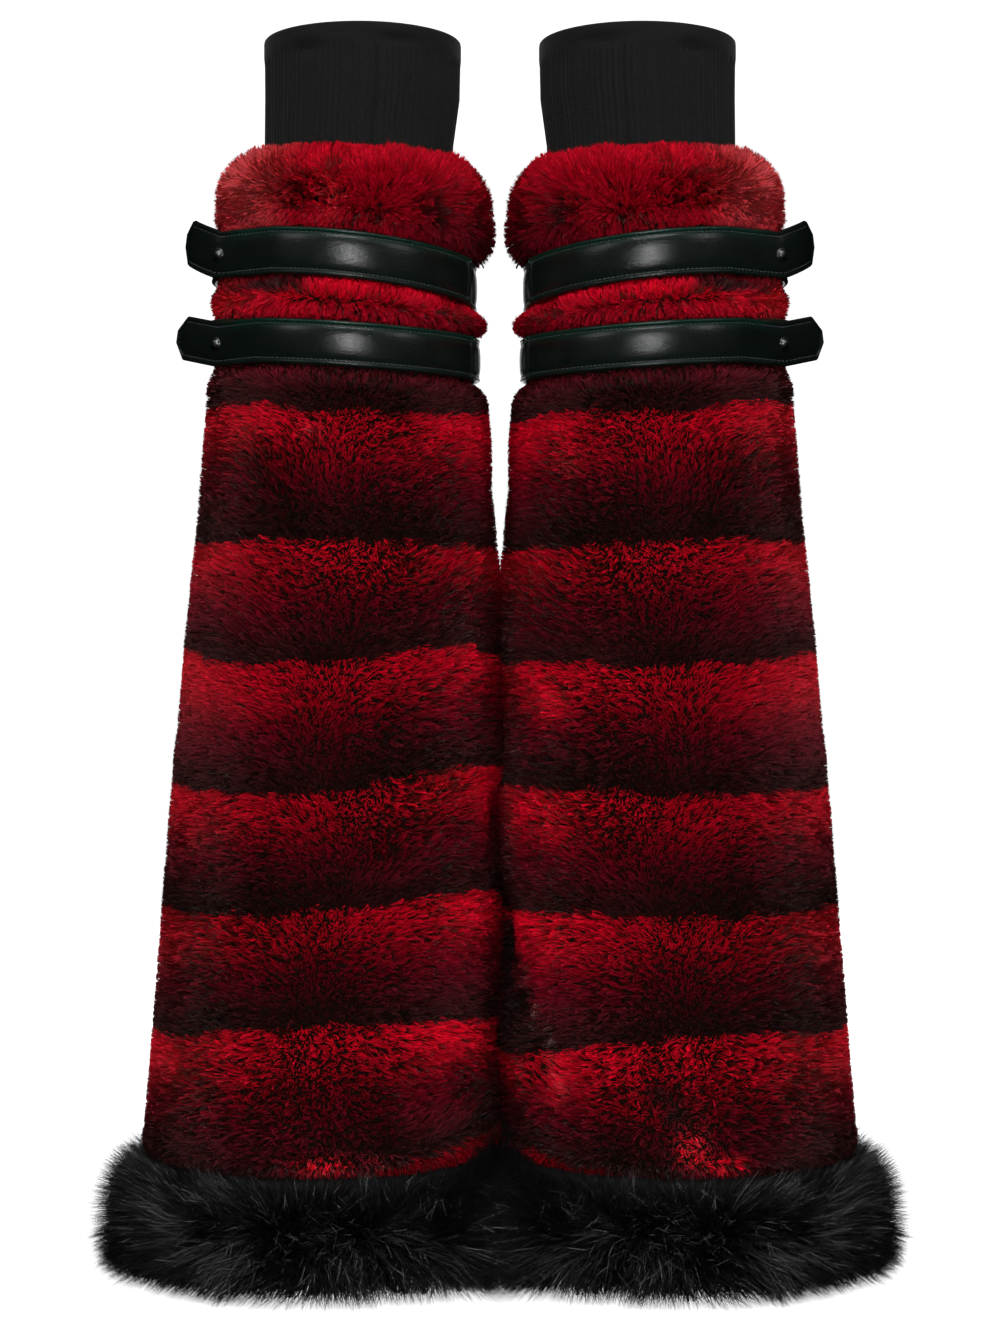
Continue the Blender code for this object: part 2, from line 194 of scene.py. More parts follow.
# A tuft that differs from the pile about it, or a patch of painted light, shade or sheen: its angle,
# height, half width and half height, how far it takes on the stripe's bright red or, where negative, its
# black, and how pale it is
TuftOrPaintedLight = namedtuple("TuftOrPaintedLight", "degrees height wide tall bright pale")
# a painted shadow of the hem low on the outer side, and a dark strip just under the upper strap
BOTH_DARK_PATCHES = (TuftOrPaintedLight(30, 62, 34, 9, -0.7, 0), TuftOrPaintedLight(60, 453, 19, 3.6, -0.9, 0.03))
TUFTS_AND_PAINTED_LIGHT = {
    "left": (
        *BOTH_DARK_PATCHES,
        # the next two: painted highlights on the rolled lower edge
        TuftOrPaintedLight(95, 59, 16, 6, 1, 0.07),
        TuftOrPaintedLight(113, 61, 7, 3.5, 0.6, 0.1),
        TuftOrPaintedLight(83, 489, 6, 10, 1, 0.12),
        TuftOrPaintedLight(79, 386, 8, 4, 0.2, 0.07),
        # painted sheen on the inner side
        TuftOrPaintedLight(142, 296, 9, 8, 0, 0.06),
        TuftOrPaintedLight(262, 240, 10, 7, 0.4, 0.08),
    ),
    "right": (
        *BOTH_DARK_PATCHES,
        TuftOrPaintedLight(103, 92, 22, 14, 0.5, 0),
        # the next three: painted light on the inner front
        TuftOrPaintedLight(136, 262, 10, 8, 0.45, 0.02),
        TuftOrPaintedLight(136, 208, 10, 9, 0.5, 0.02),
        TuftOrPaintedLight(136, 157, 9, 8, 0.3, 0.02),
        # the next two: painted shade in a crease at the front
        TuftOrPaintedLight(99, 91, 6, 4.5, -0.8, 0.03),
        TuftOrPaintedLight(93, 82, 6, 4.5, -0.8, 0.06),
        TuftOrPaintedLight(90, 66, 7, 9, 1, 0.14),
        TuftOrPaintedLight(80, 60, 11, 6, 1, 0.03),
        # the next four: painted shade in the crease on the inner side
        TuftOrPaintedLight(173, 150, 8, 9, -1, 0),
        TuftOrPaintedLight(167, 137, 7, 9, -1, 0.01),
        TuftOrPaintedLight(160, 123, 7, 9, -1, 0.01),
        TuftOrPaintedLight(152, 110, 6, 8, -0.9, 0.02),
        # the next four: painted sheen along the inner edge's crease
        TuftOrPaintedLight(162, 152, 1.8, 8, 0, 0.26),
        TuftOrPaintedLight(156, 138, 1.8, 8, 0, 0.28),
        TuftOrPaintedLight(149.5, 124, 2, 8, 0, 0.28),
        TuftOrPaintedLight(142, 109, 2.6, 8, 0, 0.24),
        TuftOrPaintedLight(135, 92, 5, 9, 0.4, 0.1),
        # the next three: painted sheen on the inner edge
        TuftOrPaintedLight(163, 296, 7.5, 20, 0, 0.13),
        TuftOrPaintedLight(163, 248, 7.5, 22, 0, 0.13),
        TuftOrPaintedLight(163, 200, 7.5, 22, 0, 0.13),
        TuftOrPaintedLight(62, 491, 7, 8, 0.6, 0.06),
        TuftOrPaintedLight(128, 372, 8, 6, 0.3, 0.08),
        TuftOrPaintedLight(275, 330, 9, 8, 0.3, 0.08),
    ),
}

# A kind of pile: how many blades and of how many steps, their width, the share of them that
# are blunt and widest at the tip, how far they reach at least and at most as a share of the
# pile's depth, how far each leans, how unevenly whole patches reach, and the seed. Blades
# gather in locks of one or two sizes: the size, how far a lock pulls its blades together and
# how far the whole lock leans.
Pile = namedtuple("Pile", "blades steps width blunt least most lean uneven seed locks")
PILES = {
    "puff": Pile(53_000, 1, 0.76, 0.3, 0.72, 1.14, 0.5, 0.24, 17, ((9, 0.26, 0.55), (2.5, 0.44, 0.85))),
    "ruff": Pile(22_000, 1, 0.8, 0.35, 0.74, 1.12, 0.55, 0.16, 23, ((7, 0.2, 0.5), (2.3, 0.5, 0.95))),
    "body": Pile(106_000, 1, 0.8, 0.35, 0.8, 1.06, 0.47, 0.05, 11, ((8, 0.14, 0.45), (2, 0.46, 0.82))),
    "underfur": Pile(36_000, 1, 0.85, 0.15, 0.45, 0.8, 0.32, 0.12, 31, ((12, 0.25, 0.4), (4, 0.55, 0.6))),
    "guard_hair": Pile(15_000, 2, 0.4, 0, 0.66, 1.1, 0.36, 0.14, 47, ((12, 0.18, 0.5), (2.6, 0.62, 0.8))),
    "wisps": Pile(28_000, 1, 0.27, 0, 0.78, 1.32, 0.46, 0.16, 59, ((3.6, 0.45, 0.9),)),
    "edge": Pile(9_000, 1, 0.5, 0, 0.78, 1.08, 0.3, 0.06, 67, ((1.6, 0.3, 0.4),)),
}
UNEVEN_PATCH = 14
BLUNT_REACH = 0.9  # how far blunt blades reach, next to the others
TAPER = (1, 0.72)  # how wide a blade is at its root, and halfway where it has two steps
# Steps that spread any number of points evenly over a square
EVEN_STEPS = (0.7548776662466927, 0.5698402909980532)

# A stretch of the striped pile: how many pieces it is split into, how far it leans down, how
# unevenly, in patches of what size and from what seed, and how far it fans out to its ends
Zone = namedtuple("Zone", "parts down uneven patch seed fan")
ZONES = {
    "puff": Zone(1, -0.04, 0.4, 26, 51, 0.5),
    "ruff": Zone(1, 0.04, 0.34, 22, 52, 0.6),
    "body": Zone(2, -0.09, 0.27, 36, 53, 0),
}
UNDER_STRAP = 0.002  # how far, in metres, the pile goes on under a strap

# A pile of the hem: how light its hairs get, the lightest tips being painted glints, and where on the
# section it starts, as a share
HEM_PILES = {"underfur": (0.7, 0), "guard_hair": (1, 0), "wisps": (0.97, 0), "edge": (0.75, 0.78)}

# How far down its fade the stripe above the upper strap gets
PUFF_FADE = Stripe(0.34, 0.36, 0.4, 0.6, 0.72, 0.6, 0.5, 0.4)
# The outer sides' paleness is a painted sheen
PAINTED_SHEEN_SIDES, PAINTED_SHEEN_PUFF = 0.044, 7.5  # how pale the outer sides are, times what in the puff
STRIPE_TONES = (0.82, 1.12, 1, 1, 0.95, 0.92, 0.95, 1.08, 0.5)  # how bright each is, from the top
# painted light on the inner front and back, painted shade where the warmers meet, painted sheen on the
# puff's outer side
INNER_PAINTED_LIGHT, MEETING_SHADE, PUFF_PAINTED_SHEEN = 0.36, 0.65, 0.5

COLUMNS = 144  # points round a pile's surface
ROUND = 360 * np.arange(COLUMNS) / COLUMNS
ROW_STEP = 3  # between its rows
BACKING_STEP = 3  # the cloth under it has one point to this many
BACKING_THICKNESS = 1.2


def hump(value, at, spread):
    """A smooth rise to 1 about a place."""
    return np.exp(-(((value - at) / spread) ** 2))


def growing(value, none, full):
    """A share that goes from 0 to 1 between two values."""
    return np.clip((value - none) / (full - none), 0, 1)


def running(steps):
    """Where each step starts, and where the last one ends."""
    return np.concatenate(((0,), np.cumsum(steps)))


def in_pair(side, outward, front, height):
    """Points in metres, from distances outward, to the front and up in millimetres."""
    outward, front, height = np.broadcast_arrays(outward, front, height)
    return np.stack((SIDES[side] * outward, -front, height - HOLD_HEIGHT), axis=-1) * MM


def on_ring(side, centre, radius, degrees, height):
    """Points of round sections about the axis that lies centre out from the middle."""
    turn = np.radians(degrees)
    return in_pair(side, centre + radius * np.cos(turn), radius * np.sin(turn), height)


def lifted(level, degrees):
    """The height of a ring or strap at angles round the warmer."""
    turn = np.radians(degrees)
    return level.height + level.outer_lift * np.cos(turn) + level.front_lift * np.sin(turn)


def kept_off_middle(centre, radius, degrees, gap=MIDDLE_GAP):
    """The radius, shortened where it would come nearer than a gap to the middle plane."""
    inward = -np.cos(np.radians(degrees))
    room = (centre - gap) / np.maximum(inward, 0.01)
    return np.where(inward > 0.01, np.minimum(radius, room), radius)


def crease_depth(side, degrees, height):
    """How far the creases move the fur out, or in where negative."""
    total = 0
    for crease in CREASES[side]:
        start = np.array((math.radians(crease.angle_from) * CREASE_RADIUS, crease.height_from))
        end = np.array((math.radians(crease.angle_to) * CREASE_RADIUS, crease.height_to))
        place = np.stack((np.radians(degrees) * CREASE_RADIUS, height), axis=-1)
        along = end - start
        share = np.clip((place - start) @ along / (along @ along), 0, 1)
        away = np.linalg.norm(place - start - share[..., None] * along, axis=-1)
        total = total + crease.depth * hump(away, 0, crease.width)
    return total


def strap_radius(strap, degrees):
    """The radius of a strap's inner face, which passes under the tab near the snap."""
    degrees = np.asarray(degrees, float)
    apart = np.abs((degrees - SWELL_ANGLE + 180) % 360 - 180)
    share = np.clip(apart / SWELL_REACH, 0, 1)
    radius = strap.radius + strap.swell * np.cos(np.radians(90 * share)) ** 2
    before_tab = strap.leaves_at - degrees % 360
    under_tab = (strap.radius - STRAP_THICKNESS - SEAM_GAP) / np.cos(np.radians(before_tab))
    dips = (before_tab > 0) & (degrees % 360 <= UNDER_END_ANGLE + UNDER_RUN)
    return np.where(dips, np.minimum(radius, under_tab), radius)


def row_gaps(rows):
    """The distance from each row of points to the next."""
    return np.linalg.norm(np.diff(rows, axis=0), axis=-1).mean(axis=1)


def smooth_rows(rows, values):
    """More rows on smooth curves through the given ones, and values spread along them.

    The rows come back with the values and the distance along the surface of each row.
    """
    gaps = row_gaps(rows)
    knots = running(gaps)
    slopes = np.diff(rows, axis=0) / gaps[:, None, None]
    before, after = gaps[:-1, None, None], gaps[1:, None, None]
    between = (slopes[:-1] * after + slopes[1:] * before) / (before + after)
    tangents = np.concatenate((slopes[:1], between, slopes[-1:]))
    along = np.linspace(0, knots[-1], round(knots[-1] / (ROW_STEP * MM)) + 1)
    first = np.clip(np.searchsorted(knots, along, side="right") - 1, 0, len(gaps) - 1)
    t = ((along - knots[first]) / gaps[first])[:, None, None]
    length = gaps[first][:, None, None]
    smooth = (
        rows[first] * (1 + 2 * t) * (1 - t) ** 2
        + rows[first + 1] * t * t * (3 - 2 * t)
        + tangents[first] * length * t * (1 - t) ** 2
        - tangents[first + 1] * length * t * t * (1 - t)
    )
    return smooth, np.interp(along, knots, values), along


def sampled(grid, turn, row):
    """The values of a grid between its points. The grid closes round its columns."""
    first_row = np.clip(row.astype(int), 0, len(grid) - 2)
    columns = grid.shape[1]
    place = turn % 1 * columns
    first_column = place.astype(int) % columns
    extra = (1,) * (grid.ndim - 2)
    down = (row - first_row).reshape(-1, *extra)
    over = (place - np.floor(place)).reshape(-1, *extra)
    next_column = (first_column + 1) % columns
    upper, lower = (
        grid[rows, first_column] * (1 - over) + grid[rows, next_column] * over
        for rows in (first_row, first_row + 1)
    )
    return upper * (1 - down) + lower * down


def unit(vectors):
    """The vectors at length 1."""
    return vectors / np.maximum(np.linalg.norm(vectors, axis=-1, keepdims=True), 1e-12)


class Pelt:
    """A surface of pile tips: rows of points down a tube, each closed round it."""

    def __init__(self, rows, depths):
        self.tips, self.depth, self.along = smooth_rows(rows, depths)
        down = np.gradient(self.tips, axis=0)
        wrapped = np.concatenate((self.tips[:, -1:], self.tips, self.tips[:, :1]), axis=1)
        about = np.gradient(wrapped, axis=1)[:, 1:-1]
        self.down, self.about = unit(down), unit(about)
        self.normal = unit(np.cross(self.about, self.down))
        middle = self.tips.mean(axis=1, keepdims=True)
        if ((self.tips - middle) * self.normal).sum() < 0:
            self.normal = -self.normal
        self.girth = np.linalg.norm(about, axis=-1).sum(axis=1)
        self.skin = self.tips - self.normal * (self.depth * MM)[:, None, None]

    def places(self, count, wanted):
        """Turns and rows for count blades, spread evenly over the rows that are wanted."""
        area = self.girth * wanted
        summed = running((area[1:] + area[:-1]) / 2)
        turn, share = ((0.5 + np.arange(count) * step) % 1 for step in EVEN_STEPS)
        return turn, np.interp(share * summed[-1], summed, np.arange(len(summed)))


def eased(value):
    """The value, drawn smoothly towards whole numbers."""
    whole = np.floor(value)
    return whole + (value - whole) ** 2 * (3 - 2 * (value - whole))


def cloudy(pelt, turn, along, patch, seed):
    """Smooth noise from -1 to 1 over a pelt, in patches of about the given size."""
    columns = max(3, round(pelt.girth.mean() / (patch * MM)))
    count = int(pelt.along[-1] / (patch * MM)) + 3
    table = np.random.default_rng(seed).uniform(-1, 1, (count, columns))
    return sampled(table, eased(turn * columns) / columns, eased(along / (patch * MM)))


def nearest_locks(pelt, turn, along, size, seed):
    """For each blade, its lock's turn and distance along, and five random shares of it."""
    columns = round(pelt.girth.mean() / (size * MM))
    count = int(pelt.along[-1] / (size * MM)) + 4
    draw = np.random.default_rng(seed)
    jitter = draw.uniform(0.05, 0.95, (count, columns, 2))
    shares = draw.uniform(0, 1, (count, columns, 5))
    place = np.stack((turn * columns, along / (size * MM)), axis=-1)
    nearest, locks = np.full(len(turn), np.inf), np.zeros((len(turn), 7))
    for step_y, step_x in np.ndindex(3, 3):
        cell = np.floor(place).astype(int) + (step_x - 1, step_y - 1)
        found = (np.clip(cell[:, 1] + 1, 0, count - 1), cell[:, 0] % columns)
        centre = cell + jitter[found]
        away = ((place - centre) ** 2).sum(axis=1)
        closer = away < nearest
        nearest = np.where(closer, away, nearest)
        locks = np.where(closer[:, None], np.concatenate((centre, shares[found]), axis=1), locks)
    lock_along = np.clip(locks[:, 1] * size * MM, 0, pelt.along[-1])
    return locks[:, 0] / columns % 1, lock_along, locks[:, 2:]


def grow(pelt, pile, wanted, lean, part=0, parts=1):
    """Blades of pile on a pelt.

    lean gives, for turns and distances along, how far the pile leans down the surface and
    round it. Each blade has its points from root to tip, its way across and a normal.
    """
    draw = np.random.default_rng(pile.seed + part)
    turn, row = (places[part::parts] for places in pelt.places(pile.blades * parts, wanted))
    numbers = np.arange(len(pelt.along))
    along = np.interp(row, numbers, pelt.along)

    def some(low=0, high=1):
        return draw.uniform(low, high, len(turn))

    def tip_from(base, at_turn, at_row, at_along, reach, aside, sway):
        down, about = lean(at_turn, at_along)
        ways = (
            (pelt.normal, reach),
            (pelt.down, down + aside * np.sin(sway)),
            (pelt.about, about + aside * np.cos(sway)),
        )
        depth = np.interp(at_row, numbers, pelt.depth) * MM
        return base + depth[:, None] * sum(
            sampled(way, at_turn, at_row) * far[:, None] for way, far in ways
        )

    root = sampled(pelt.skin, turn, row)
    blunt = some() < pile.blunt
    spread = pile.most - pile.least
    reach = pile.least + spread * some() ** 0.7
    tip = tip_from(root, turn, row, along, reach, pile.lean * some(), some(0, math.tau))
    for number, (size, pull, far) in enumerate(pile.locks):
        lock_turn, lock_along, shares = nearest_locks(pelt, turn, along, size, pile.seed + 100 * number)
        lock_row = np.interp(lock_along, pelt.along, numbers)
        shared = tip_from(
            sampled(pelt.skin, lock_turn, lock_row), lock_turn, lock_row, lock_along,
            pile.least + spread * (0.35 + 0.65 * shares[:, 0]),
            far * shares[:, 1] ** 0.5, shares[:, 2] * math.tau,
        )
        tip = tip + (shared - tip) * (pull * (0.7 + 0.3 * some()))[:, None]
    stretch = 1 + pile.uneven * cloudy(pelt, turn, along, UNEVEN_PATCH, pile.seed + 5)
    tip = root + (tip - root) * (np.where(blunt, BLUNT_REACH, 1) * stretch)[:, None]
    # A blade's face looks out of the pile, and is turned about the blade by some way
    normal = unit(sampled(pelt.normal, turn, row))
    way = unit(tip - root)
    outmost = unit(normal - way * (way * normal).sum(axis=1, keepdims=True))
    twist = np.clip(draw.normal(0, 0.6, (len(turn), 1)), -1.2, 1.2)
    facing = outmost * np.cos(twist) + np.cross(way, outmost) * np.sin(twist)
    points = [root, tip]
    if pile.steps == 2:
        length = np.linalg.norm(tip - root, axis=1, keepdims=True)
        points.insert(1, (root + tip) / 2 + unit(normal - way * 0.9) * length * 0.1)
    return {
        "points": points,
        "across": np.cross(way, facing),
        "width": pile.width * MM * some(0.65, 1.15),
        "normal": unit(facing * 0.7 + normal * 0.52),
        "turn": turn,
        "place": along,
        "blunt": blunt,
        "lock": shares[:, 3],
        "hair": some(),
    }


def add_mesh(name, points, groups, material):
    """A mesh object from arrays: points, and a group of faces for each number of corners."""
    mesh = bpy.data.meshes.new(name)
    mesh.from_pydata(points.tolist(), [], [face for faces in groups for face in faces.tolist()])
    mesh.validate()
    mesh.materials.append(material)
    piece = bpy.data.objects.new(name, mesh)
    bpy.context.collection.objects.link(piece)
    return piece


def put_floats(mesh, name, values):
    """A named value for each vertex, for the materials to read."""
    layer = mesh.attributes.new(name, "FLOAT", "POINT")
    layer.data.foreach_set("value", np.ascontiguousarray(values, np.float32).ravel())


def add_blades(name, blades, material, floor=None, **values):
    """One mesh of tapering blades, with values for each blade as attributes."""
    count = len(blades["turn"])
    blunt = blades["blunt"][:, None]
    side_step = blades["across"] * (blades["width"] / 2)[:, None] * np.where(blunt, -1, 1)
    points = blades["points"]
    points = [np.where(blunt, other, point) for point, other in zip(points, points[::-1])]
    *broad, end = points
    edges = [middle + side_step * share * way for share, middle in zip(TAPER, broad) for way in (-1, 1)]
    each = len(edges) + 1
    points = np.stack((*edges, end), axis=1).reshape(-1, 3)
    if floor is not None:
        points[:, 2] = np.maximum(points[:, 2], floor)
    first = np.arange(count)[:, None] * each
    faces = [first + np.array([[each - 3, each - 2, each - 1]])]
    if len(broad) == 2:
        faces.insert(0, first + np.array([[0, 1, 3, 2]]))
    piece = add_mesh(name, points, faces, material)
    mesh = piece.data
    mesh.shade_smooth()
    mesh.normals_split_custom_set_from_vertices(np.repeat(blades["normal"], each, axis=0))
    climb = np.repeat(np.arange((each + 1) // 2) / (each // 2), 2)[:each]
    put_floats(mesh, "along", np.where(blunt, 1 - climb, climb))
    for key, value in values.items():
        put_floats(mesh, key, np.repeat(value, each))
    return piece


def grid_faces(rows, columns, closed=False):
    """Faces between rows of points, each row closed round, and if closed from last to first."""
    last = rows if closed else rows - 1
    row, column = np.meshgrid(np.arange(last), np.arange(columns), indexing="ij")
    below, beside = (row + 1) % rows, (column + 1) % columns
    corners = ((row, column), (row, beside), (below, beside), (below, column))
    return np.stack([y * columns + x for y, x in corners], axis=-1).reshape(-1, 4)


def add_tube(name, rings, material, closed=True):
    """A mesh of closed rings of points, each joined to the next, and if closed last to first."""
    points = rings.reshape(-1, 3)
    faces = grid_faces(*rings.shape[:2], closed)
    a, b, d = (points[faces[: rings.shape[1], k]] for k in (0, 1, 3))
    if (np.cross(b - a, d - a) * (a - points.mean(axis=0))).sum() < 0:
        faces = faces[:, ::-1]
    piece = add_mesh(name, points, [faces], material)
    piece.data.shade_smooth()
    return piece


def add_capped(name, rings, material, sharp, flipped=False):
    """A mesh of rings of points with a face over each end, smooth up to a sharp angle."""
    count, columns = rings.shape[:2]
    faces = grid_faces(count, columns)
    ends = np.stack((np.arange(columns)[::-1], (count - 1) * columns + np.arange(columns)))
    if flipped:
        faces, ends = faces[:, ::-1], ends[:, ::-1]
    piece = add_mesh(name, rings.reshape(-1, 3), [faces, ends], material)
    piece.data.shade_smooth()
    piece.data.set_sharp_from_angle(angle=math.radians(sharp))
    return piece


# ---------------- materials


class Finish:
    """A material, with short ways to add nodes to its tree and to fill their inputs."""

    def __init__(self, name, settings):
        self.material = bpy.data.materials.new(name)
        self.material.use_nodes = True
        self.tree = self.material.node_tree
        self.shader = self.tree.nodes["Principled BSDF"]
        self.fill(self.shader, settings)

    def fill(self, node, inputs):
        """Set a node's inputs to numbers, vectors, colours or other nodes' outputs."""
        for key, value in inputs.items():
            socket = node.inputs[key]
            if isinstance(value, bpy.types.NodeSocket):
                self.tree.links.new(value, socket)
            else:
                socket.default_value = (*value, 1) if socket.type == "RGBA" else value

    def node(self, kind, inputs, output=0, **settings):
        """The output of a new node."""
        node = self.tree.nodes.new(f"ShaderNode{kind}")
        for key, value in settings.items():
            setattr(node, key, value)
        self.fill(node, inputs)
        return node.outputs[output]

    def math(self, operation, *values):
        """The result of a sum on numbers or other nodes' outputs."""
        return self.node("Math", dict(enumerate(values)), operation=operation)

    def scaled(self, value, low, high):
        """A value from 0 to 1 spread from low to high."""
        return self.math("ADD", self.math("MULTIPLY", value, high - low), low)

    def held(self, name):
        """A value that the mesh holds for each vertex."""
        return self.node("Attribute", {}, "Fac", attribute_name=name)

    def place(self):
        """Where a point lies in the mesh's own space."""
        return self.node("TexCoord", {}, "Object")

    def ramp(self, value, *stops):
        """A colour for a value, from stops of a place and a colour."""
        node = self.tree.nodes.new("ShaderNodeValToRGB")
        while len(node.color_ramp.elements) < len(stops):
            node.color_ramp.elements.new(1)
        for element, (place, colour) in zip(node.color_ramp.elements, stops):
            element.position = place
            element.color = (*colour, 1)
        self.fill(node, {0: value})
        return node.outputs[0]

    def mixed(self, share, first, second):
        """Two colours mixed by a share."""
        return self.node("Mix", {0: share, 6: first, 7: second}, 2, data_type="RGBA")

    def brightened(self, colour, value, low, high):
        """A colour made darker or lighter by a value from 0 to 1."""
        return self.node("VectorMath", {0: colour, 3: self.scaled(value, low, high)}, operation="SCALE")

    def noise(self, scale, detail=2):
        """Cloudy specks, finer where the scale is larger."""
        return self.node("TexNoise", {"Vector": self.place(), "Scale": scale, "Detail": detail}, "Fac")

    def rows(self, inputs):
        """Level bands, one above another."""
        return self.node("TexWave", {"Vector": self.place(), **inputs}, "Fac", bands_direction="Z")

    def bump(self, height, strength, distance):
        """Give the shader a relief."""
        inputs = {"Strength": strength, "Distance": distance, "Height": height}
        self.fill(self.shader, {"Normal": self.node("Bump", inputs)})

    def painted(self, colour, **more):
        """The material, once its shader has a colour and any more inputs."""
        self.fill(self.shader, {"Base Color": colour, **more})
        return self.material


def striped_fur_material():
    """Red stripes that fade to black downwards, on dark roots."""
    finish = Finish("striped_pile", {
        "Roughness": 0.6, "Specular IOR Level": 0.06, "Sheen Weight": 0.05,
        "Sheen Roughness": 0.3, "Sheen Tint": (1, 0.7, 0.62),
    })
    stripe = finish.ramp(
        finish.math("FRACT", finish.held("stripe")),
        (0.00, (0.43, 0.001, 0.011)), (0.06, (0.6, 0.001, 0.015)), (0.2, (0.51, 0.001, 0.014)),
        (0.32, (0.37, 0.001, 0.011)), (0.45, (0.21, 0.001, 0.009)), (0.6, (0.135, 0.002, 0.009)),
        (0.74, (0.086, 0.0045, 0.009)), (0.86, (0.045, 0.0055, 0.0075)), (1.00, (0.028, 0.0065, 0.0065)),
    )
    rising = finish.ramp(finish.held("along"), (0, (0, 0, 0)), (0.42, (1, 1, 1)))
    colour = finish.mixed(rising, (0.022, 0.0055, 0.004), stripe)
    colour = finish.brightened(colour, finish.held("hair"), 0.7, 1.25)
    # The tone carries the pile's uneven brightness, and also painted light and painted shade
    colour = finish.brightened(colour, finish.held("tone"), 0, 1)
    # Pale mixes in a painted sheen on the outer sides, the puff and some patches; a few are pale tufts
    return finish.painted(finish.mixed(finish.held("pale"), colour, (0.45, 0.33, 0.3)))


def black_fur_material():
    """Black pile whose guard hairs are lighter at their tips: some are grey hairs, and the lightest tips are
    painted glints.
    """
    finish = Finish("black_pile", {
        "Roughness": 0.34, "Specular IOR Level": 0.42, "Sheen Weight": 0.02, "Sheen Roughness": 0.4,
    })
    tip = finish.ramp(
        finish.held("hair"),
        (0, (0.0018, 0.002, 0.0021)), (0.42, (0.0042, 0.0046, 0.0048)),
        (0.62, (0.03, 0.031, 0.032)), (1, (0.42, 0.425, 0.43)),
    )
    rising = finish.ramp(finish.held("along"), (0.2, (0, 0, 0)), (0.9, (1, 1, 1)))
    return finish.painted(finish.mixed(rising, (0.002, 0.002, 0.002), tip))


def backing_material():
    """The dark woven cloth that the pile grows from."""
    finish = Finish("fur_backing", {"Roughness": 0.95, "Specular IOR Level": 0.05})
    weave = finish.rows({"Scale": 320, "Distortion": 1.5})
    finish.bump(weave, 0.3, 0.0003)
    return finish.painted(finish.mixed(weave, (0.008, 0.004, 0.003), (0.016, 0.008, 0.005)))


def knit_material():
    """Black rib knit: rows of small stitches on the ribs, with a faint bloom of fibres."""
    finish = Finish("rib_knit", {
        "Roughness": 0.9, "Specular IOR Level": 0.2, "Sheen Weight": 0.09, "Sheen Roughness": 0.4,
    })
    rows = finish.rows({"Scale": 260, "Distortion": 3, "Detail Scale": 2})
    fuzz = finish.noise(900, 3)
    finish.bump(finish.math("ADD", finish.math("MULTIPLY", rows, 0.6), fuzz), 0.5, 0.00035)
    return finish.painted(finish.mixed(fuzz, (0.004, 0.0045, 0.0042), (0.0112, 0.0118, 0.0113)))


def leather_material():
    """Glossy black faux leather with a slight green cast and a fine pressed grain."""
    finish = Finish("strap_leather", {"Specular IOR Level": 0.56})
    grain = finish.node("TexVoronoi", {"Vector": finish.place(), "Scale": 1500}, "Distance")
    wear = finish.noise(60, 4)
    # Fine creases that run slantwise, as where the band was bent
    slanted = finish.node("Mapping", {
        "Vector": finish.place(),
        "Rotation": (0, math.radians(38), 0),
        "Scale": (260, 260, 1300),
    })
    creases = finish.node("TexNoise", {"Vector": slanted, "Scale": 1, "Detail": 3}, "Fac")
    finish.bump(finish.math("ADD", grain, finish.math("MULTIPLY", creases, 2)), 0.3, 0.00014)
    colour = finish.mixed(wear, (0.0024, 0.0042, 0.0035), (0.0048, 0.0078, 0.0067))
    colour = finish.mixed(finish.held("edge"), colour, (0.003, 0.019, 0.0125))
    return finish.painted(colour, Roughness=finish.scaled(wear, 0.23, 0.33))


def thread_material():
    """Black sewing thread, a little lighter than the leather."""
    finish = Finish("sewing_thread", {"Roughness": 0.45})
    return finish.painted(finish.mixed(finish.noise(1800), (0.02, 0.028, 0.026), (0.06, 0.072, 0.068)))


def snap_material():
    """Black enamelled metal, polished unevenly by use."""
    finish = Finish("snap_enamel", {"Metallic": 1})
    scuffs = finish.noise(700, 4)
    colour = finish.mixed(scuffs, (0.2, 0.205, 0.21), (0.33, 0.335, 0.34))
    return finish.painted(colour, Roughness=finish.scaled(scuffs, 0.28, 0.42))


# ---------------- the striped fur tube


def groove_rows(side, strap):
    """The two rows of the groove that a strap presses into the fur."""
    radius = strap_radius(strap, ROUND) - GROOVE_CLEARANCE
    reach = strap.width / 2 + GROOVE_CLEARANCE
    return [
        on_ring(side, strap.centre, radius, ROUND, lifted(strap, ROUND) + reach * way)
        for way in (1, -1)
    ]


def fur_pelt(side):
    """The surface that the striped pile's tips make, and where each groove lies along it."""
    rows, depths, grooves = [], [], []
    inward = np.clip(-np.cos(np.radians(ROUND)), 0, 1)
    for ring in FUR_OUTSIDE:
        if ring in STRAPS:
            grooves.append(len(rows))
            rows += groove_rows(side, STRAPS[ring])
            depths += [GROOVE_PILE] * 2
            continue
        centre = ring.half_width + ring.to_middle
        height = lifted(ring, ROUND)
        # Where the warmers nearly touch, the tips of one pile reach into the other's
        near = growing(ring.to_middle, 2.5, 0)
        radius = ring.half_width + near * PILE_CROSSING * inward ** 12 + crease_depth(side, ROUND, height)
        radius = kept_off_middle(centre, radius, ROUND, -PILE_CROSSING)
        rows.append(on_ring(side, centre, radius, ROUND, height))
        depths.append(ring.pile)
    rows = np.array(rows)
    knots = running(row_gaps(rows))
    return Pelt(rows, np.array(depths)), [(knots[row], knots[row + 1]) for row in grooves]


def stripe_at(side, degrees, height):
    """Which stripe a place lies in, with how far down it as the fraction."""
    places = np.arange(0, 361, 45)
    starts = [np.interp(degrees % 360, places, (*stripe, stripe[0])) for stripe in STRIPES[side]]
    found = np.zeros_like(height)
    for number, (start, end) in enumerate(zip(starts, starts[1:])):
        share = np.clip((start - height) / (start - end), 0, 0.999)
        if number == 0:
            share = share * np.interp(degrees % 360, places, (*PUFF_FADE, PUFF_FADE[0]))
        found = np.where(height < start, number + share, found)
    return found


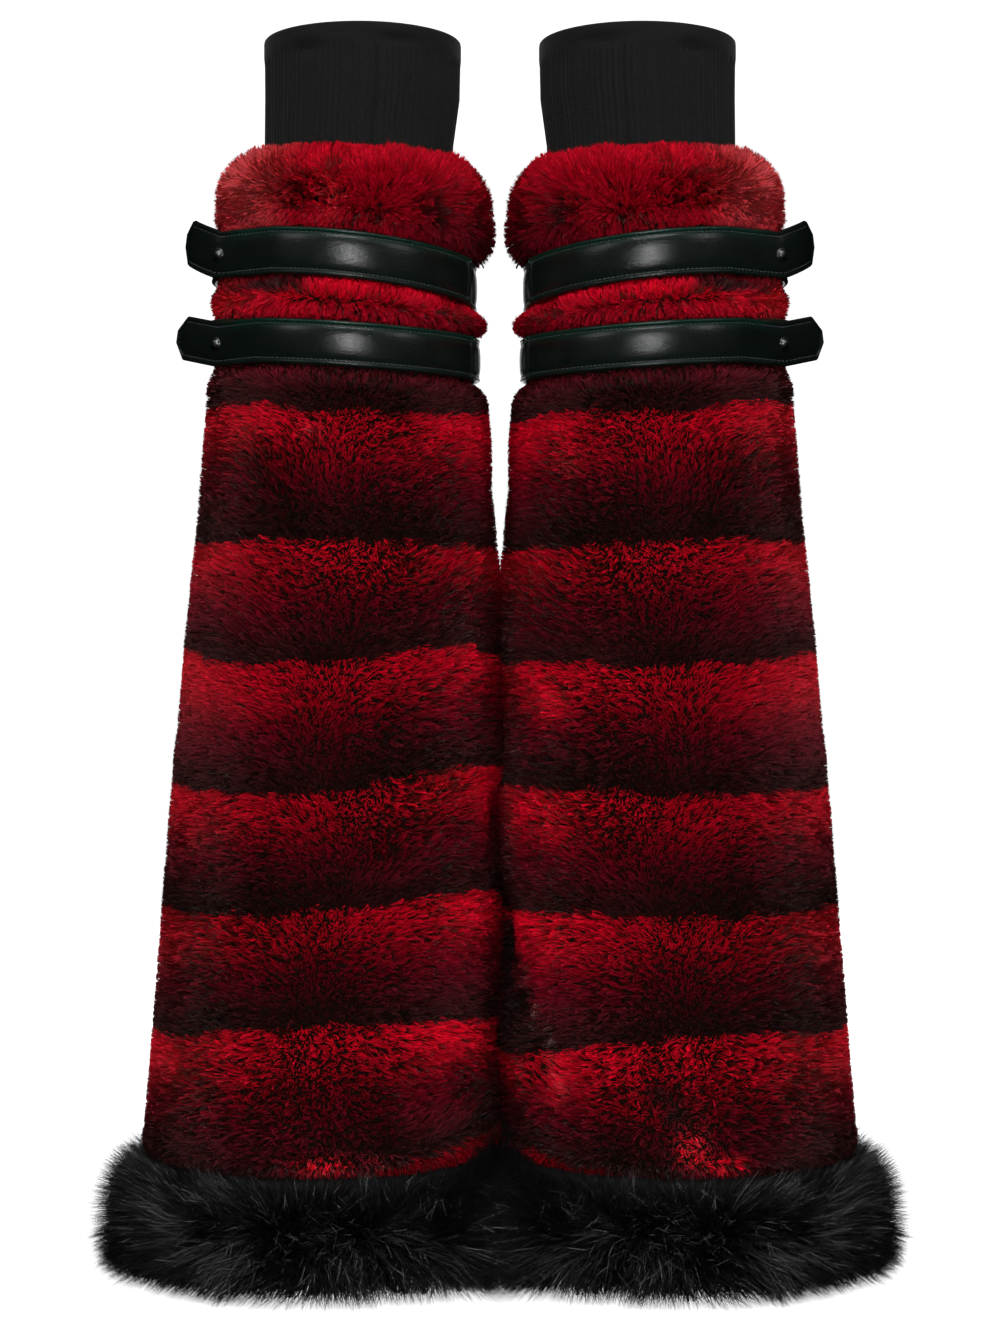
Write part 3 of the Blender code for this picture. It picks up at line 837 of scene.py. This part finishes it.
def patchy_lean(pelt, zone, start, end):
    """A lean that fans out from the middle of a zone, and is uneven in broad patches."""

    def lean(turn, along):
        fanned = zone.fan * np.clip(2 * (along - start) / (end - start) - 1, -1, 1)
        return (
            zone.down + fanned + zone.uneven * cloudy(pelt, turn, along, zone.patch, zone.seed),
            zone.uneven * cloudy(pelt, turn, along, zone.patch * 0.8, zone.seed + 10),
        )

    return lean


def striped_pile(side, name, blades, pelt, material):
    """Blades that each take their colour from where their tip lies in the stripes."""
    draw = np.random.default_rng(len(name) + 7)
    in_puff = name.startswith("puff")
    wide, fine, patches = (
        cloudy(pelt, blades["turn"], blades["place"], patch, seed)
        for patch, seed in ((15, 81), (5, 82), (18, 83))
    )
    waver = 1.8 * wide + fine + draw.normal(0, 0.7, len(fine))
    degrees = blades["turn"] * 360
    height = blades["points"][-1][:, 2] / MM + HOLD_HEIGHT
    stripe = stripe_at(side, degrees, height + waver)
    # A painted sheen makes the pile paler on the outer side, more so in the puff, and the tufts and patches
    # of painted sheen below add more
    outer = growing(np.cos(np.radians(degrees)), 0.4, 0.95)
    pale = PAINTED_SHEEN_SIDES * outer * (0.6 + 0.4 * patches) * (PAINTED_SHEEN_PUFF if in_puff else 1)
    number = np.clip(np.floor(stripe), 0, len(STRIPE_TONES) - 1).astype(int)
    tone = (0.85 + 0.3 * blades["lock"]) * (1 + 0.12 * patches) * np.array(STRIPE_TONES)[number]
    # Painted light brightens the inner front and back, where the warmers face each other, painted shade
    # darkens them where they meet, and the puff's outer side gets a painted sheen
    painted_light_mask = hump(degrees, 138, 25) + hump(degrees, 222, 25)
    painted_light_mask *= growing(height, 310, 250) * growing(height, 90, 120)
    tone *= 1 + INNER_PAINTED_LIGHT * painted_light_mask + (PUFF_PAINTED_SHEEN * outer if in_puff else 0)
    tone *= 1 - MEETING_SHADE * hump(degrees, 180, 17) * growing(height, 335, 295)
    # Each tuft, or patch of painted light, shade or sheen, moves the stripe, tone and paleness near it
    for tuft_or_painted_light in TUFTS_AND_PAINTED_LIGHT[side]:
        aside = np.radians((degrees - tuft_or_painted_light.degrees + 180) % 360 - 180) * CREASE_RADIUS
        near = hump(aside, 0, tuft_or_painted_light.wide) * hump(height, tuft_or_painted_light.height, tuft_or_painted_light.tall)
        near *= draw.uniform(0.5, 1, len(near))
        bright = tuft_or_painted_light.bright > 0
        taken = np.clip(near * 1.5, 0, 1) * abs(tuft_or_painted_light.bright)
        stripe += (np.floor(stripe) + (0.1 if bright else 0.94) - stripe) * taken
        tone *= 1 + taken * (0.45 if bright else -0.35)
        pale += tuft_or_painted_light.pale * near * 2 * draw.uniform(0, 1, len(near)) ** 2
    return add_blades(
        name, blades, material, stripe=stripe, pale=pale, tone=tone, hair=blades["hair"]
    )


def make_fur(side, materials):
    """The backing cloth and the striped pile of one warmer."""
    pelt, ((upper_top, upper_foot), (lower_top, lower_foot)) = fur_pelt(side)
    starts = (0, upper_foot - UNDER_STRAP, lower_foot - UNDER_STRAP)
    ends = (upper_top + UNDER_STRAP, lower_top + UNDER_STRAP, pelt.along[-1])
    piles = []
    for (name, zone), start, end in zip(ZONES.items(), starts, ends):
        lean = patchy_lean(pelt, zone, start, end)
        wanted = ((pelt.along >= start) & (pelt.along <= end)).astype(float)
        for part in range(zone.parts):
            blades = grow(pelt, PILES[name], wanted, lean, part, zone.parts)
            piles.append(
                striped_pile(side, f"{name}_pile_{side}_{part + 1}", blades, pelt, materials["striped"])
            )
    inner = pelt.skin - pelt.normal * BACKING_THICKNESS * MM
    outside, inside = (layer[::BACKING_STEP, ::BACKING_STEP] for layer in (pelt.skin, inner))
    backing = add_tube(
        f"fur_backing_{side}", np.concatenate((outside, inside[::-1])), materials["backing"]
    )
    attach(backing, "root")
    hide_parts(f"fur_{side}")
    for pile in piles:
        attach(pile, "root")


# ---------------- the hem

CORE_SHARE = 0.36  # how far out the cloth lies, as a share of the pile's reach
HEM_MIDDLE = 26  # the height that the cloth's section draws in to
# Where the hems press on each other, their pile is swept to the front and the back
HEM_SQUEEZE, HEM_SQUEEZE_REACH, HEM_SWEEP = 146, 20, 0.75


def hem_rows(side, share):
    """The rows of the hem's section, from its top round to its foot, at a share of its reach."""
    gap = MIDDLE_GAP if share < 1 else -HEM_CROSSING
    meeting, climb = (
        sum(much * hump(ROUND, at, spread) for at, spread, much in places)
        for places in (HEM_MEETING, HEM_CLIMB)
    )
    # How far the pile stands out or lies back
    further = meeting + sum(
        size * np.sin(np.radians(count * ROUND + phase)) for count, size, phase in HEM_LOCKS
    )
    longest = HEM_REACH + further
    room = kept_off_middle(HEM_CENTRE, HEM_RADIUS + longest, ROUND, gap) - HEM_RADIUS
    rows = []
    for out, height in HEM_SECTION:
        pile = (out + further * (out / HEM_REACH) ** 2) * share
        radius = HEM_RADIUS + pile * room / longest
        if share == 1:
            height = height + climb * hump(out, 18, 8)
        height = HEM_MIDDLE + (height - HEM_MIDDLE) * (0.35 + 0.65 * share)
        rows.append(on_ring(side, HEM_CENTRE, radius, ROUND, height))
    return np.array(rows)


def make_hem(side, materials):
    """The strip of cloth round the hem, its dense underfur and its guard hairs."""
    tips, core = hem_rows(side, 1), hem_rows(side, CORE_SHARE)
    pelt = Pelt(tips, np.zeros(len(tips)))
    skin, _, _ = smooth_rows(core, np.zeros(len(core)))
    place = np.linspace(0, len(skin) - 1, len(pelt.tips))
    pelt.skin = np.array([sampled(skin, ROUND / 360, np.full(COLUMNS, row)) for row in place])
    reach = np.linalg.norm(pelt.tips - pelt.skin, axis=-1)
    pelt.depth = reach.mean(axis=1) / MM
    pelt.normal = unit(pelt.tips - pelt.skin) * (reach / reach.mean(axis=1, keepdims=True))[..., None]
    wanted = (pelt.along > 8 * MM).astype(float)

    def lean(turn, along):
        low = np.clip(along / pelt.along[-1] * 2.2 - 1.2, 0, 1)
        down = 0.12 - 0.3 * low + 0.3 * cloudy(pelt, turn, along, 24, 71)
        about = 0.42 * cloudy(pelt, turn, along, 22, 72)
        for at, way in ((HEM_SQUEEZE, -HEM_SWEEP), (360 - HEM_SQUEEZE, HEM_SWEEP)):
            about = about + way * hump(turn * 360, at, HEM_SQUEEZE_REACH)
        return down, about

    piles = []
    for name, (lightest, start) in HEM_PILES.items():
        blades = grow(pelt, PILES[name], wanted * (pelt.along > start * pelt.along[-1]), lean)
        piles.append(add_blades(
            f"hem_{name}_{side}", blades, materials["black"], floor=FLOOR_Z + 0.0002,
            hair=blades["hair"] * lightest * (0.45 + 0.55 * blades["lock"]),
        ))

    def collar(out, height):
        return on_ring(side, HEM_CENTRE, HEM_RADIUS + out, ROUND[::BACKING_STEP], height)

    # The strip's upper edge is sewn inside the fur's lower edge, and its pile starts below
    outside = skin[len(skin) // 6::BACKING_STEP, ::BACKING_STEP]
    inner = [collar(0, height) for height in (9, 26, 43, 60)]
    outer = [collar(1.8, 60), collar(2.4, 54.5), collar(8.4, 51.8), collar(8.8, 46)]
    backing = add_tube(
        f"hem_backing_{side}", np.concatenate((outer, outside, inner)), materials["black_cloth"]
    )
    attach(backing, "root")
    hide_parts(f"hem_{side}")
    for pile in piles:
        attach(pile, "root")


# ---------------- the cuff

# A soft dent in the smooth band: its angle, height, depth, half width round and up
Dent = namedtuple("Dent", "degrees height depth width tall")
DENTS = (
    Dent(59, 562, -2.4, 8, 1.8),
    Dent(60, 567, 1, 11, 2.6),
    Dent(113, 564.5, -2.4, 14, 2),
    Dent(114, 569, 0.9, 15, 2),
    Dent(205, 563, -1.2, 12, 2.2),
    Dent(300, 565, -1.3, 14, 2.4),
)
POINTS_PER_RIB = 6


def make_cuff(side, materials):
    """The knit tube: rounded ribs, a smooth rolled band with soft dents, and a plain inside."""
    columns = RIBS * POINTS_PER_RIB
    degrees = 360 * (np.arange(columns) + 0.5) / columns
    rib = 0.5 - 0.5 * np.cos(math.tau * (np.arange(columns) + 0.5) / POINTS_PER_RIB)
    # No two grooves are equally deep, and a few are much deeper
    depths = np.random.default_rng(5).uniform(0.55, 1.25, RIBS)
    depths[[6, 19, 28, 33, 41, 57, 72, 88]] *= 1.7
    groove = np.interp(np.arange(columns) / POINTS_PER_RIB, np.arange(RIBS + 1), (*depths, depths[0]))
    rib = (1 - rib ** 1.6) * groove
    outline = np.array([(r.height, r.half_width, r.half_width + r.to_middle) for r in CUFF_OUTSIDE]).T
    rings = []

    def ring(height, inset, relief):
        half, centre = (np.interp(height, outline[0], sizes) for sizes in outline[1:])
        dent = sum(
            dent.depth * hump(degrees, dent.degrees, dent.width) * hump(height, dent.height, dent.tall)
            for dent in DENTS
        )
        radius = half - inset - RIB_RELIEF * relief * rib + dent
        rings.append(on_ring(side, centre, radius, degrees, height))

    for height in (506, 516, 524, 532, 539, 546, 552, 556, 559):
        ring(height, 0, 1)
    for height, relief in zip((561, 562.6, 564.5, 566.5, 568.6, 570.4), (0.7, 0.3, 0.08, 0.03, 0.02, 0)):
        ring(height, 0, relief)
    for turn in np.radians((30, 60, 90, 120, 155)):
        ring(570.9 + 1.35 * math.sin(turn), 1.2 - 1.2 * math.cos(turn), 0)
    for height in (568, 556, 540, 522, 506):
        ring(height, CUFF_WALL, 0)
    cuff = add_tube(f"cuff_knit_{side}", np.array(rings), materials["knit"])
    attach(cuff, "root")
    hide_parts(f"cuff_{side}")


# ---------------- the straps

# A strap's face by the distance from its edge: a bead, a pressed stitch line, the face
FACE_PROFILE = (
    (0, 0.1), (0.2, 0.75), (0.5, 1.22), (0.9, 1.48), (1.3, 1.5), (1.7, 1.28), (2, 0.95),
    (2.3, 0.72), (2.6, 0.7), (2.9, 0.86), (3.3, 1.1), (4.2, 1.36), (6, 1.56), (8, 1.66), (12, 1.7),
)
STITCH_INSET, STITCH_START, STITCH_SEAT = 2.5, 20, 0.9
STITCH_PITCH, STITCH_LENGTH, STITCH_RADIUS = 2.1, 1.5, 0.27
SEAM_ANGLE = 160  # where the front of the band laps over its back with a turned end
SEAM_STEP, SEAM_BEAD = 1.3, 0.5
RING_STEP_DEGREES = 2.5
TAB_STEPS = 12  # in each of a tab's runs: to the snap, on to its point, and the point
BACK_PROFILE = (  # the strap's back: how far across, as a share, and how deep
    (1, -0.5), (0.97, -1), (0.8, -1.2), (0, -1.2), (-0.8, -1.2), (-0.97, -1), (-1, -0.5),
)


def strap_path(strap):
    """Places along a strap's middle, as outward, front and height, and the snap's number."""
    places = []
    whole_turn = UNDER_END_ANGLE + 360 - strap.leaves_at
    turns = np.linspace(0, whole_turn, round(whole_turn / RING_STEP_DEGREES) + 1)
    at_seam = UNDER_END_ANGLE + 360 - SEAM_ANGLE + np.arange(-0.7, 4.6, 0.35)
    turns = np.sort(np.concatenate((turns[np.abs(turns - at_seam.mean()) > 3.2], at_seam)))
    for turn in turns:
        degrees = UNDER_END_ANGLE - turn
        inner = strap.radius if turn == whole_turn else float(strap_radius(strap, degrees))
        past = degrees % 360 - SEAM_ANGLE
        lap = 0.5 - 0.5 * math.tanh(past / 0.4) if degrees < -90 else 0
        bead = SEAM_BEAD * lap * (hump(past, -1.2, 0.8) - hump(past, -3, 0.7))
        radius = inner + STRAP_THICKNESS / 2 + SEAM_STEP * (lap - 0.5) + bead
        outward = strap.centre + radius * math.cos(math.radians(degrees))
        front = radius * math.sin(math.radians(degrees))
        places.append([outward, front, float(lifted(strap, degrees))])
    snap_number = len(places) - 1 + TAB_STEPS
    heading = strap.leaves_at - 90
    shaft = strap.to_tip - TAB_POINT_LENGTH
    runs = (strap.to_snap, 0, 0), (shaft, strap.turn, strap.rise), (TAB_POINT_LENGTH, 0, strap.rise)
    for length, turning, rise in np.repeat(runs, TAB_STEPS, axis=0) / (TAB_STEPS, TAB_STEPS, 1):
        outward, front, height = places[-1]
        heading -= turning
        level_run = length * math.cos(math.radians(rise))
        places.append([
            outward + level_run * math.cos(math.radians(heading)),
            front + level_run * math.sin(math.radians(heading)),
            height + length * math.sin(math.radians(rise)),
        ])
    return np.array(places), snap_number


def strap_frames(side, places):
    """Points in metres, and at each the ways along, out of the face and up."""
    points = in_pair(side, places[:, 0], places[:, 1], places[:, 2])
    along = unit(np.gradient(points, axis=0))
    for _ in range(2):
        along[1:-1] = unit(along[:-2] + 2 * along[1:-1] + along[2:])
    out = unit(np.cross(along, (0, 0, 1))) * SIDES[side]
    up = unit(np.cross(out, along)) * SIDES[side]
    return points, along, out, up


def make_strap(side, level, materials):
    """The band with its beaded edges and pointed tab, its stitches, and the snap's cap."""
    strap = STRAPS[level]
    places, snap_number = strap_path(strap)
    path = points, along, out, up = strap_frames(side, places)
    run = running(np.linalg.norm(np.diff(points, axis=0), axis=1)) / MM
    left = (run[-1] - run)[:, None]
    half = strap.width / 2
    tip_half = half * TAB_TIP_SHARE
    slope = (half - tip_half) / TAB_POINT_LENGTH
    half_here = np.minimum(half, tip_half + left * slope)
    shares = np.concatenate((np.linspace(0, 3.3, 13)[:-1] / half, np.linspace(3.3 / half, 1, 4)))
    across = np.concatenate((shares - 1, (1 - shares)[::-1][1:])) * half_here
    from_point = (tip_half + left * slope - np.abs(across)) / math.hypot(1, slope)
    away = np.minimum(np.minimum(half_here - np.abs(across), from_point), left + 0.02)
    rise = np.interp(away, *zip(*FACE_PROFILE))
    back_across, back_rise = np.array(BACK_PROFILE).T
    aside = np.concatenate((across, back_across * half_here), axis=1)[..., None]
    rise = np.concatenate((rise, np.broadcast_to(back_rise, (len(rise), len(back_rise)))), axis=1)[..., None]
    rings = points[:, None] + (up[:, None] * aside + out[:, None] * rise) * MM
    band = add_capped(f"strap_band_{level}_{side}", rings, materials["leather"], 60, side == "left")
    # The edges have a green cast, mostly the upper one, and the tab has none
    green = growing(away, 4.4, 1.8) * np.where(across > 0, 1, 0.25) * growing(left, 32, 46)
    put_floats(band.data, "edge", np.pad(green, ((0, 0), (0, len(back_rise)))))
    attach(band, "root")
    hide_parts(f"strap_{level}_{side}")
    stitches = make_stitches(f"strap_stitches_{level}_{side}", materials["thread"], path, run, half)
    make_snap(side, level, materials["snap"], points[snap_number], along[snap_number], out[snap_number])


def make_stitches(name, material, path, run, half):
    """Short rounded stitches in the pressed line along both edges."""
    places = np.arange(STITCH_START, run[-1] - TAB_POINT_LENGTH, STITCH_PITCH)
    points, ways, outs, ups = (
        np.stack([np.interp(places, run, values) for values in line.T], axis=-1) for line in path
    )
    ways, outs, ups = unit(ways), unit(outs), unit(ups)
    inset = half - STITCH_INSET
    seats = np.concatenate([points + (ups * v + outs * STITCH_SEAT) * MM for v in (-inset, inset)])
    ways, outs = np.tile(ways, (2, 1)), np.tile(outs, (2, 1))
    sides = np.cross(ways, outs)
    around = 4
    rings = []
    for share, radius in ((-1, 0.25), (-0.6, 1), (0.6, 1), (1, 0.25)):
        for angle in math.pi * np.arange(around) / (around - 1):
            offset = sides * math.cos(angle) + outs * math.sin(angle)
            rings.append(seats + (ways * share * STITCH_LENGTH / 2 + offset * radius * STITCH_RADIUS) * MM)
    first = np.array([ring * around + k for ring in range(3) for k in range(around - 1)])[:, None]
    faces = first + (around, around + 1, 1, 0)
    quads = (faces + np.arange(len(seats))[:, None, None] * len(rings)).reshape(-1, 4)
    piece = add_mesh(name, np.stack(rings, axis=1).reshape(-1, 3), [quads], material)
    piece.data.shade_smooth()
    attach(piece, "root")
    return piece


SNAP_RADIUS = 3.3
SNAP_PROFILE = (  # its radius as a share, and its height
    (0.96, 0), (1, 0.12), (1, 0.3), (0.95, 0.46), (0.88, 0.52), (0.8, 0.5), (0.74, 0.62),
    (0.7, 0.95), (0.62, 1.35), (0.48, 1.66), (0.3, 1.84), (0.12, 1.9),
)
SNAP_COLUMNS = 40


def make_snap(side, level, material, point, along, out):
    """A domed cap with a rolled rim."""
    way = unit(along - out * (along @ out))
    turns = math.tau * np.arange(SNAP_COLUMNS)[:, None] / SNAP_COLUMNS
    round_it = (way * np.cos(turns) + np.cross(out, way) * np.sin(turns)) * SNAP_RADIUS
    seat = point + out * (STRAP_THICKNESS / 2 + SEAM_GAP) * MM
    rings = np.array([seat + (round_it * share + out * height) * MM for share, height in SNAP_PROFILE])
    cap = add_capped(f"snap_cap_{level}_{side}", rings, material, 50)
    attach(cap, "root")
    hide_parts(f"snap_{level}_{side}")


# ---------------- stage, light and camera

EYE_Z = -0.27035
EYE_DISTANCE = 1.2455
LENS = 71.57


def add_stage():
    """A pale floor that sweeps up all round the pair."""
    material = Finish("pale_sweep", {
        "Base Color": (0.86, 0.86, 0.86), "Roughness": 0.9, "Specular IOR Level": 0.1,
        "Emission Color": (1, 1, 1), "Emission Strength": 1,
    }).material
    bend = np.radians(np.linspace(0, 90, 7))
    radius = np.concatenate(((0.02,), 3.2 + 0.8 * np.sin(bend), (4,)))[:, None]
    height = np.concatenate(((0,), 0.8 - 0.8 * np.cos(bend), (6,)))[:, None]
    turn = math.tau * np.arange(32) / 32
    rings = np.stack(
        np.broadcast_arrays(radius * np.cos(turn), radius * np.sin(turn), FLOOR_Z + height), axis=-1
    )
    sweep = add_tube("pale_sweep", rings, material, closed=False)
    sweep.visible_diffuse = sweep.visible_glossy = False


def add_light(name, place, target, size, power, shines=True):
    """A soft rectangular light that faces a target, seen in glossy surfaces if it shines."""
    lamp = bpy.data.lights.new(name, "AREA")
    lamp.shape = "RECTANGLE"
    lamp.size, lamp.size_y = size
    lamp.energy = power
    light = bpy.data.objects.new(name, lamp)
    light.location = place
    light.rotation_euler = (Vector(target) - Vector(place)).to_track_quat("-Z", "Y").to_euler()
    light.visible_glossy = shines
    bpy.context.collection.objects.link(light)


def add_studio():
    """Soft light from near the camera, large dim lights at the sides, and the camera."""
    world = bpy.data.worlds.new("studio")
    world.use_nodes = True
    sky = world.node_tree.nodes["Background"].inputs
    sky["Color"].default_value, sky["Strength"].default_value = (1, 1, 1, 1), 0.06
    bpy.context.scene.world = world
    world.cycles_visibility.glossy = False
    add_light("key", (0, -1.3, 0.09), (0, 0, -0.25), (0.3, 0.17), 3.6)
    add_light("low_fill", (0, -1.45, -0.5), (0, 0, -0.35), (0.9, 0.4), 6, shines=False)
    add_light("rim", (0, -0.75, 1.1), (0, 0, -0.1), (0.6, 0.3), 5)
    add_light("behind", (0, 1.1, -0.05), (0, 0, -0.15), (0.5, 0.7), 2.5)
    add_light("back_fill", (0, 1.6, -0.2), (0, 0, -0.28), (1.8, 1.2), 13, shines=False)
    for side, way in SIDES.items():
        add_light(f"{side}_soft", (way * 1.15, -1, -0.05), (way * 0.1, 0, -0.3), (0.5, 1.2), 8, shines=False)
        add_light(f"{side}_glint", (way * 1, -0.85, 0.75), (way * 0.1, 0, -0.1), (0.42, 0.55), 1.5)
    add_light("top", (0, 0.1, 1.5), (0, 0, -0.4), (1.2, 0.9), 3, shines=False)
    eye = bpy.data.cameras.new("camera")
    eye.sensor_fit = "VERTICAL"
    eye.sensor_height = 36
    eye.lens = LENS
    camera = bpy.data.objects.new("camera", eye)
    camera.location = (0, -EYE_DISTANCE, EYE_Z)
    camera.rotation_euler = (math.radians(90), 0, 0)
    bpy.context.collection.objects.link(camera)
    bpy.context.scene.camera = camera
    bpy.context.scene.view_settings.view_transform = "Standard"


add_stage()
add_studio()
black_cloth = Finish("black_cloth", {"Base Color": (0.003, 0.003, 0.003), "Roughness": 0.95})
materials = {
    "striped": striped_fur_material(),
    "black": black_fur_material(),
    "black_cloth": black_cloth.material,
    "backing": backing_material(),
    "knit": knit_material(),
    "leather": leather_material(),
    "thread": thread_material(),
    "snap": snap_material(),
}
for side in SIDES:
    make_cuff(side, materials)
    make_fur(side, materials)
    make_hem(side, materials)
    for level in STRAPS:
        make_strap(side, level, materials)
